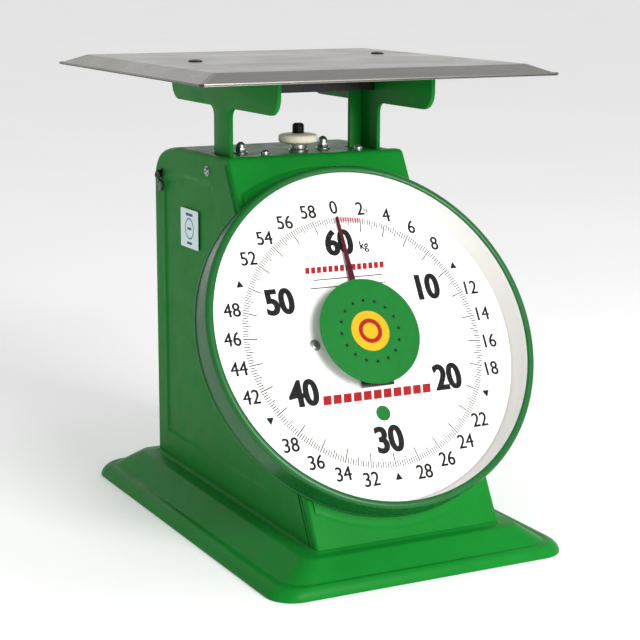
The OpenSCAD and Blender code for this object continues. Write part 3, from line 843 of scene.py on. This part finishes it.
def make_rules():
    """Plain rules: red dashes and thin lines above the hub, larger dashes and a dot below it."""
    flat_print("rule_upper", dashes(-2.6, 57.0, 62.0, 3.6, 1.4, 14), "print_red")
    lines = [rect(x - half, x + half, y, y + 0.8) for x, y, half in ((-2, 51.0, 30), (-3, 44.5, 33))]
    flat_print("rule_thin", lines, "print_grey")
    flat_print("rule_lower", dashes(-0.8, -47.0, -40.0, 6.9, 1.7, 11), "print_red")
    flat_print("dial_dot", [circle(0.0, -58.6, 6.0, 40)], "print_green")


def print_ring(name, x, y, r0, r1, material, height):
    """Printed ring round (x, y), or a full disc when r0 is 0."""
    obj = lathe(name, rect(r0, r1, height - INK, height), DIAL @ move(x, y, 0), 96, r0 > 0)
    finish_print(obj, material)


def make_hub_disc():
    """Printed disc behind the clear cover, with plain rings and dots."""
    low, high = box_mm("hub_disc")
    r = (high.x - low.x) / 2
    middle = DIAL.inverted() @ ((low + high) / 2)
    x, y, base = middle.x, middle.y, 17.9
    profile = [(0, base), (r - 0.1, base), (r, base + 0.1), (r, base + 0.3), (r - 0.1, base + 0.4),
               (0, base + 0.4)]
    obj = lathe("hub_disc_print", profile, DIAL @ move(x, y, 0), 96)
    finish_piece(obj, "print_green", ("hub_disc",), 40)
    top = base + 0.48
    print_ring("hub_print_middle", x, y, 0, 16.0, "print_ring", top)
    print_ring("hub_print_ring", x, y, 6.4, 9.8, "print_red", top + 0.05)
    dots = [circle(cx, cy, 1.3, 12) for cx, cy in circle(x, y, 24.5, 16)[::-1]]
    flat_print("hub_dots", dots, "print_black", top)


def make_cover():
    """Clear sheet over the whole dial."""
    low, high, r = 18.5, 20.5, box_mm("clear_cover")[1].x
    profile = [(0, low), (r - 0.4, low), (r, low + 0.4), (r, high - 0.5), (r - 0.5, high), (0, high)]
    obj = lathe("clear_cover_sheet", profile, DIAL, 160)
    finish_piece(obj, "clear", ("clear_cover",), 40)


def make_pointer():
    """Tapered blade with a raised spine, its counterweight and its boss, on the spindle."""
    low, high = 7.0, 7.8
    tip, tail = 101.0, -37.6
    rows = [(tip, 0.9), (tip * 0.6, 2.1), (12, 3.7), (0, 4.0), (-12, 4.0), (tail + 1.5, 4.0), (tail, 3.6)]
    verts, faces = [], []
    for y, half in rows:
        verts += [(-half, y, low), (-half, y, high - 0.35), (0, y, high), (half, y, high - 0.35),
                  (half, y, low)]
    for k in range(len(rows) - 1):
        a, b = 5 * k, 5 * (k + 1)
        faces += [[a + i, a + (i + 1) % 5, b + (i + 1) % 5, b + i] for i in range(5)]
    faces += [[0, 1, 2, 3, 4], [5 * (len(rows) - 1) + i for i in (4, 3, 2, 1, 0)]]
    obj = new_object("pointer_blade", verts, faces, DIAL)
    finish_piece(obj, "pointer", ("pointer",), 12, False, body="pointer_body")
    weight = [(-4.4, -23.5), (4.4, -23.5), (13.5, -27), (13.8, -28), (13.8, -37.9), (-13.8, -37.9),
              (-13.8, -28), (-13.5, -27)]
    obj = slab("pointer_weight", weight, 6.9, 8.2, DIAL, 0.3, 2)
    finish_piece(obj, "black", (), 30, False, body="pointer_body")
    boss = [(0, 5.4), (4.5, 5.4), (4.5, 7.0), (7, 7.0), (7.2, 7.3), (7.2, 8.3), (6.6, 8.8), (4.6, 9.0),
            (4.2, 9.6), (0, 9.8)]
    obj = lathe("pointer_hub", boss, DIAL, 48)
    finish_piece(obj, "black", ("pointer_boss",), body="pointer_body")


def screw(r, h, place):
    """Pan head of a screw with a cross recess."""
    crown = arc(r - h * 0.6, h * 0.4, h * 0.6, 0, 90, 5)
    profile = [(0, 0), (r - 0.15, 0), (r, 0.15), (r, h * 0.35)] + crown + [(0, h)]
    obj = lathe("screw", profile, place, 32)
    for half_x, half_y in ((r * 0.55, r * 0.12), (r * 0.12, r * 0.55)):
        boolean(obj, slab("cut", rect(-half_x, half_x, -half_y, half_y), h * 0.45, h + 1, place))
    return obj


def washer(hole, r, side, flat, h, place, segments=32):
    """Washer with a chamfer from height side at its rim to radius flat on its top."""
    return lathe("washer", [(hole, 0), (r, 0), (r, side), (flat, h), (hole, h)], place, segments, True)


def make_dial_screws():
    """Three screws that hold the dial plate, with washers."""
    made = []
    for turn in (0, 90, 180):
        a = math.radians(turn)
        place = DIAL @ move(43.5 * math.cos(a), 43.5 * math.sin(a), FACE)
        made.append(screw(3.4, 1.8, place))
        made.append(washer(1.8, 4.4, 0.35, 4.1, 0.5, place))
    finish_piece(join("dial_screw_heads", made), "zinc", ("dial_screws",), 30, False)


make_housing()
make_pan()
make_plate()
make_ticks()
make_figures()
make_rules()
make_hub_disc()
make_cover()
make_pointer()
make_dial_screws()


# ---------------- platter and load brackets

def cut_square(half, chamfer, z):
    """Ring of a square with cut corners, centred on the load frame."""
    c = half - chamfer
    corners = [(-c, -half), (c, -half), (half, -c), (half, c), (c, half), (-c, half), (-half, c),
               (-half, -c)]
    ring = []
    for i, (x, y) in enumerate(corners):
        nx, ny = corners[(i + 1) % 8]
        steps = 6 if i % 2 == 0 else 1
        ring += [(x + (nx - x) * k / steps, LOAD_Y + y + (ny - y) * k / steps, z) for k in range(steps)]
    return ring


def make_platter():
    """Pressed stainless tray: flat top, rim that slopes down, a folded hem, and two slotted screw heads."""
    top, low, half = PLATTER_HIGH.z, PLATTER_LOW.z, PLATTER_HIGH.x
    flat = 131.5
    rings = [cut_square(*row) for row in (
        (10, 0.3, top), (124, 1.5, top), (flat - 0.9, 1.8, top), (flat - 0.2, 2.0, top - 0.04),
        (flat + 0.5, 2.2, top - 0.22), (flat + 1.3, 2.4, top - 0.55), (half - 3.5, 2.9, low + 1.35),
        (half - 1.2, 3, low + 0.55), (half - 0.3, 3, low + 0.3), (half, 3, low + 0.1),
        (half - 0.3, 3, low))]
    skin = shell(loft("platter_sheet", rings, cap_first=True), SHEET)
    finish_piece(skin, "stainless", ("platter",), 9, body="load_frame")
    profile = [(0, 0), (3.9, 0), (3.9, 1.02), (5.6, 1.02), (5.7, 1.3), (5.3, 2.0), (4.2, 2.5), (2.2, 2.8),
               (0, 2.9)]
    heads = []
    for dx, dy in ((-90, -2), (95, 41)):
        place = move(dx, LOAD_Y + dy, top - 1.0)
        head = lathe("head", profile, place, 40)
        heads.append(boolean(head, slab("cut", rect(-6, 6, -0.5, 0.5), 2.0, 4, place)))
    # The dark heads are painted shade of the screws' recesses in the platter.
    finish_piece(join("platter_screw_heads", heads), "stud", ("platter_screws",), 30, body="load_frame")


def bracket_outline():
    """Post with two wings in Y and Z, all corners round, as in the frame."""
    low, high = box_mm("left_bracket")
    wing_z, end_r, inner_r = 331.0, 14.0, 8.0
    left, right, top = low.y, high.y, high.z - 2
    post_l, post_r = LOAD_Y - 15, LOAD_Y + 15
    inner_z, end_z = wing_z - inner_r, wing_z + end_r
    return ([(post_l, low.z), (post_r, low.z)] + arc(post_r + inner_r, inner_z, inner_r, 180, 90, 6)
            + arc(right - end_r, end_z, end_r, -90, 0, 8) + [(right, top), (left, top)]
            + arc(left + end_r, end_z, end_r, 180, 270, 8)
            + arc(post_l - inner_r, inner_z, inner_r, 90, 0, 6))


def make_brackets():
    """Each bracket: web, lip folded inwards behind the post, and flange turned out under the platter."""
    outer, inner = 67.5, 64.0
    for side, name in ((-1, "left_bracket"), (1, "right_bracket")):
        low, high = box_mm(name)
        face = yz_place(-outer if side < 0 else inner)
        web = slab("web", bracket_outline(), 0, outer - inner, face, 0.7)
        lip_x = sorted((side * 64.5, side * 53.0))
        lip = slab("lip", rect(*lip_x, LOAD_Y + 11.5, LOAD_Y + 15), low.z, high.z - 2.5, None, 0.8)
        flange_x = sorted((side * inner, side * (outer + 34)))
        flange = slab("flange", rect(*flange_x, low.y + 2, high.y - 2), high.z - 2.7, high.z, None, 0.8)
        for z in (box_mm("upper_lever_pins")[0].z + 3, box_mm("lower_lever_pins")[0].z + 3):
            r = 3.35
            hole = arc(LOAD_Y + 1, z, r, -90, 90, 8) + arc(LOAD_Y - 1, z, r, 90, 270, 8)
            boolean(web, slab("cut", hole, -2, 6, face))
        sheet = join(name + "_sheet", [web, lip, flange])
        finish_piece(sheet, "green", (name,), 40, False, body="load_frame")


def make_cross_member():
    """Channel across the two brackets, open downwards."""
    low, high = box_mm("platter_cross_member")
    outer, inner, roof = 11.0, 8.5, high.z - 2.5
    section = [(LOAD_Y + y, z) for y, z in (
        (-outer, low.z), (-outer, high.z), (outer, high.z), (outer, low.z),
        (inner, low.z), (inner, roof), (-inner, roof), (-inner, low.z))]
    obj = slab("cross_channel", section, 0, high.x - low.x, yz_place(low.x), 0.8)
    # Black enamel here is painted shade: the channel lies in the shadow under the platter.
    finish_piece(obj, "black", ("platter_cross_member",), 40, body="load_frame")


make_platter()
make_brackets()
make_cross_member()


# ---------------- case top: knob, stud, bolts, screws

def thread(r, depth, pitch, low, high):
    """Zigzag side of a threaded rod, from low to high."""
    points, z = [], low
    while z + pitch <= high:
        points += [(r - depth, z), (r, z + pitch * 0.35), (r, z + pitch * 0.6)]
        z += pitch
    return points + [(r - depth, z), (r - depth, high)]


def make_knob():
    """The zero knob, its threaded stud, and the seat it stands on."""
    low, high = box_mm("zero_knob")
    r, h = high.x, high.z - low.z
    rows = [(5.05, 0.4), (5.6, 0), (8.8, 0), (9.2, 0.4), (r - 3, 1.2), (r - 1.4, 1.6), (r - 0.5, 2.3),
            (r, 3.2), (r, h - 3), (r - 0.4, h - 2), (r - 1.3, h - 1.25), (r - 4, h - 0.55), (8, h - 0.1),
            (7, h), (5.6, h), (5.05, h - 0.5)]
    obj = lathe("zero_knob_disc", rows, move(0, LOAD_Y, low.z), 96, True)
    finish_piece(obj, "cream", ("zero_knob",), 35, body="knob")
    s_low, s_high = box_mm("zero_stud")
    profile = [(0, s_low.z), (5, s_low.z)] + thread(4.98, 0.7, 1.25, s_low.z + 0.5, s_high.z - 1.2)
    profile += [(3.7, s_high.z - 0.5), (2.9, s_high.z), (0, s_high.z)]
    obj = lathe("zero_stud_thread", profile, move(0, LOAD_Y, 0), 48)
    finish_piece(obj, "stud", ("zero_stud",), 30, False, body="hanger")
    k_low, k_high = box_mm("knob_seat")
    rise = k_high.z - k_low.z
    seat = [(5.6, 0), (8, 0), (8, 1.0), (7.4, 1.5), (6.9, 2.2), (6.9, rise - 0.8), (6.6, rise), (5.6, rise)]
    obj = lathe("knob_seat_ring", seat, move(0, LOAD_Y, k_low.z), 64, True)
    finish_piece(obj, "zinc", ("knob_seat",), 30)


def hexagon(r, place, low, high):
    shape = [(r * math.cos(a), r * math.sin(a)) for a in (math.radians(60 * i) for i in range(6))]
    return slab("hex", shape, low, high, place, 0.5, 2)


def make_top_fasteners():
    """Two hex nuts with domed caps, and two pan heads, each on its washer."""
    base = box_mm("top_bolts")[0].z
    made = []
    for x, y, r, h in ((-49, 35, 4.6, 6.5), (27, 40, 5.0, 7.5)):
        place = move(x, y, base)
        made.append(washer(2.4, r * 1.25, 0.8, r * 1.2, 1.0, place, 40))
        made.append(hexagon(r, place, 1.0, 1.0 + h * 0.55))
        neck = [(0, 0.5 + h * 0.5), (r * 0.84, 0.5 + h * 0.5), (r * 0.84, 1 + h * 0.55)]
        dome = arc(0, 1 + h * 0.7, r * 0.8, 10, 90, 8)[:-1] + [(0, 1 + h * 0.7 + r * 0.8)]
        made.append(lathe("cap", neck + dome, place, 32))
    finish_piece(join("top_cap_nuts", made), "zinc", ("top_bolts",), 35, False)
    base = box_mm("top_screws")[0].z
    made = []
    for x in (-40, 43):
        place = move(x, 9, base)
        made.append(washer(2.0, 5, 0.6, 4.7, 0.9, place, 40))
        made.append(screw(3.4, 4.0, place @ move(0, 0, 0.9)))
    finish_piece(join("top_screw_heads", made), "zinc", ("top_screws",), 30, False)


def make_case_screws():
    """Side screws with washers, and the rear cover's screws."""
    made = []
    for side, turn in ((-1, "-x"), (1, "+x")):
        place = move(side * CASE_HIGH.x, 37.9, 280.3) @ along(turn)
        made.append(screw(3.0, 2.0, place))
        made.append(washer(1.5, 4.2, 0.5, 3.9, 0.7, place))
    finish_piece(join("side_screw_heads", made), "zinc", ("side_screws",), 30, False)
    made = []
    back = box_mm("rear_cover")[1].y
    for x in (-61, 61):
        for z in (47, 140, 233):
            made.append(screw(3.5, 2.0, move(x, back, z) @ along("+y")))
    finish_piece(join("rear_screw_heads", made), "zinc", ("rear_cover_screws",), 30, False)


def wire(name, points, r, material, body="root", loop=False):
    """Round wire along a smooth curve through those points, as a mesh."""
    curve = bpy.data.curves.new(name, "CURVE")
    curve.dimensions = "3D"
    curve.bevel_depth = r * MM
    curve.bevel_resolution = 2
    curve.resolution_u = 8
    curve.use_fill_caps = True
    spline = curve.splines.new("NURBS")
    spline.points.add(len(points) - 1)
    for p, co in zip(spline.points, points):
        p.co = (*(Vector(co) * MM), 1.0)
    spline.use_endpoint_u = not loop
    spline.use_cyclic_u = loop
    spline.order_u = 4
    holder = add_object(name, curve)
    mesh = evaluated_mesh(holder)
    bpy.data.objects.remove(holder)
    tidy_mesh(mesh)
    return finish_piece(add_object(name, mesh), material, (), 60, False, body)


def make_springs():
    """Twin load springs: each top end stands 5 mm inside the hanger, each foot at the load frame; the coils are
    tied to no body.
    """
    for name in ("left_spring", "right_spring"):
        low, high = box_mm(name)
        x, y = (low.x + high.x) / 2, (low.y + high.y) / 2
        thick = 2.0
        r = (high.x - low.x) / 2 - thick
        rise, turns, steps = 6.0, 15, 16
        start = (low.z + high.z - rise * turns) / 2
        points = [(x, y, low.z), (x, y, start - 3)]
        for i in range(turns * steps + 1):
            t = i / steps
            wide = r * math.sin(math.pi / 2 * min(1.0, t, turns - t))
            a = 2 * math.pi * t
            points.append((x + wide * math.cos(a), y + wide * math.sin(a), start + rise * t))
        points += [(x, y, high.z - start + low.z + 3), (x, y, high.z + 5)]
        spring = wire(name + "_coil", points, thick, "wire", None)
        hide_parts(name)
        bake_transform(spring)


def make_seal():
    """Slotted sealing screw, twisted wire and a lead seal on the left side."""
    x = -CASE_HIGH.x
    y, z = 134.5, 268.0
    place = move(x, y, z) @ along("-x")
    base = lathe("base", [(0, 0), (4.5, 0), (4.5, 0.7), (4.2, 1.0), (0, 1.0)], place, 40)
    profile = [(0, 1.0), (3.1, 1.0), (3.3, 1.4), (3.3, 3.2), (2.9, 3.8), (0, 4.0)]
    head = boolean(lathe("head", profile, place, 32), slab("cut", rect(-4, 4, -0.4, 0.4), 3.0, 6, place))
    finish_piece(join("seal_screw_head", [base, head]), "stud", ("seal_screw",), 30, False)
    low, high = box_mm("lead_seal")
    mid = (low + high) / 2
    disc = [(0, 0), (4.2, 0), (4.8, 0.4), (5, 1), (5, 2), (4.7, 2.6), (4, 3), (3.4, 2.7), (3.2, 2.5),
            (0, 2.5)]
    seal = lathe("lead_seal_disc", disc, move(x, mid.y, mid.z) @ along("-x"), 40)
    finish_piece(seal, "lead", ("lead_seal",))
    half_turns, steps = 5, 30
    for strand in (0, 1):
        points = [(x - 3.4, y, z + 1), (x - 4.2, y - 2.4 + 4.8 * strand, z - 1.0)]
        for i in range(steps + 1):
            t = i / steps
            a = math.pi * (half_turns * t + strand)
            sag = 1.5 * math.sin(math.pi * t)
            points.append((x - 2.6 + 0.45 * math.cos(a), y + 0.45 * math.sin(a) - sag, z - 3.2 - 3.6 * t))
        points += [(x - 2.0, y, mid.z + 3.0), (x - 1.5, y, mid.z)]
        wire("seal_wire_" + "ab"[strand], points, 0.35, "stud")
    loop = [(x - 3.6 + 0.8 * math.sin(2 * a), y + 4.4 * math.cos(a), z + 3.8 * math.sin(a))
            for a in (2 * math.pi * i / 12 for i in range(12))]
    wire("seal_wire_loop", loop, 0.4, "stud", loop=True)


def make_label():
    """Label on the left side, printed with a plain ring and bars."""
    low, high = box_mm("blank_label")
    mid = (low + high) / 2
    half_y, half_z = (high.y - low.y) / 2, (high.z - low.z) / 2
    outline = [(y, z) for y, z, _ in round_rect(half_y, -half_z, half_z, 1.0, 0, 4)]
    place = move(low.x, mid.y, mid.z)
    film = slab("label_film", outline, 0, 0.3, place @ yz_place(0), 0.08, 2)
    finish_piece(film, "label", ("blank_label",), 40)
    face = place @ Matrix(((0, 0, -1, 0), (-1, 0, 0, 0), (0, 1, 0, 0), (0, 0, 0, 1)))
    ring = lathe("label_ring", [(7.6, 0.0), (8.9, 0.0), (8.9, 0.05), (7.6, 0.05)], face, 64, True)
    finish_piece(ring, "label_ring", (), 40, False)
    bars = [slab("bar", rect(-x, x, z - half, z + half), 0.0, INK, face)
            for x, z, half in ((7.0, 11.5, 1.1), (5.0, -12.0, 1.1), (4, 0, 1))]
    finish_piece(join("label_bars", bars), "label_bar", (), 40, False)


def make_rear_cover():
    """Flat cover with rows of vent slots."""
    low, high = box_mm("rear_cover")
    outline = [(x, z) for x, z, _ in round_rect(high.x, low.z, high.z, 6, 0, 6)]
    place = Matrix(((1, 0, 0, 0), (0, 0, -1, high.y), (0, 1, 0, 0), (0, 0, 0, 1)))
    obj = slab("rear_cover_sheet", outline, 0, SHEET, place, 0.5)
    for x in (-30, 0, 30):
        for z in (180, 188, 196, 204):
            shape = arc(x + 10, z, 1.5, -90, 90, 5) + arc(x - 10, z, 1.5, 90, 270, 5)
            boolean(obj, slab("cut", shape, -1, 3, place))
    finish_piece(obj, "green", ("rear_cover",), 40)


make_knob()
make_top_fasteners()
make_case_screws()
make_springs()
make_seal()
make_label()
make_rear_cover()


# ---------------- carried-over CAD nodes

def dress_cad_nodes():
    """Gives every CAD node the material of its slot."""
    for part in frame["record"]["subparts"]:
        obj = frame["nodes"][part["node"]]
        look = MAT[NODE_LOOK[part["material_slot"]]]
        if obj.material_slots:
            for slot in obj.material_slots:
                slot.link = "OBJECT"
                slot.material = look
        else:
            obj.data.materials.append(look)


dress_cad_nodes()


# ---------------- stage and light

def make_stage():
    """Wide pale floor."""
    size = 60.0
    mesh = bpy.data.meshes.new("floor")
    mesh.from_pydata([(x, y, 0) for x, y in rect(-size, size, -size, size)], [], [[0, 1, 2, 3]])
    floor = add_object("floor", mesh)
    n = Nodes("floor_pale")
    n.colour(n.ramp(n.noise(1.5, 2.0), [(0.3, (0.93, 0.93, 0.93)), (0.7, (0.96, 0.96, 0.96))]))
    n.set(Roughness=0.9, Emission_Color=(1, 1, 1, 1), Emission_Strength=0.14)
    mesh.materials.append(n.mat)


def make_light():
    """White studio, brighter at the back, with one large soft light from the front."""
    world = bpy.data.worlds.new("studio")
    world.use_nodes = True
    tree = world.node_tree
    back = tree.nodes["Background"]
    coord = tree.nodes.new("ShaderNodeTexCoord")
    turn = tree.nodes.new("ShaderNodeMapping")
    turn.inputs["Rotation"].default_value = (0.0, 0.0, 0.5)
    split = tree.nodes.new("ShaderNodeSeparateXYZ")
    fade = tree.nodes.new("ShaderNodeMapRange")
    for name, value in (("From Min", -0.2), ("From Max", 0.8), ("To Min", 0.48), ("To Max", 1.0)):
        fade.inputs[name].default_value = value
    tree.links.new(coord.outputs["Generated"], turn.inputs["Vector"])
    tree.links.new(turn.outputs["Vector"], split.inputs["Vector"])
    tree.links.new(split.outputs["Y"], fade.inputs["Value"])
    tree.links.new(fade.outputs["Result"], back.inputs["Strength"])
    back.inputs["Color"].default_value = (1.0, 1.0, 1.0, 1.0)
    bpy.context.scene.world = world
    data = bpy.data.lights.new("key", "AREA")
    data.shape = "SQUARE"
    data.size = 1.3
    data.energy = 78.0
    key = add_object("key", data)
    key.location = (0.36, -2.5, 1.15)
    key.rotation_euler = (Vector((0, 0, 0.2)) - key.location).to_track_quat("-Z", "Y").to_euler()
    bpy.context.scene.view_settings.view_transform = "Standard"


make_stage()
make_light()
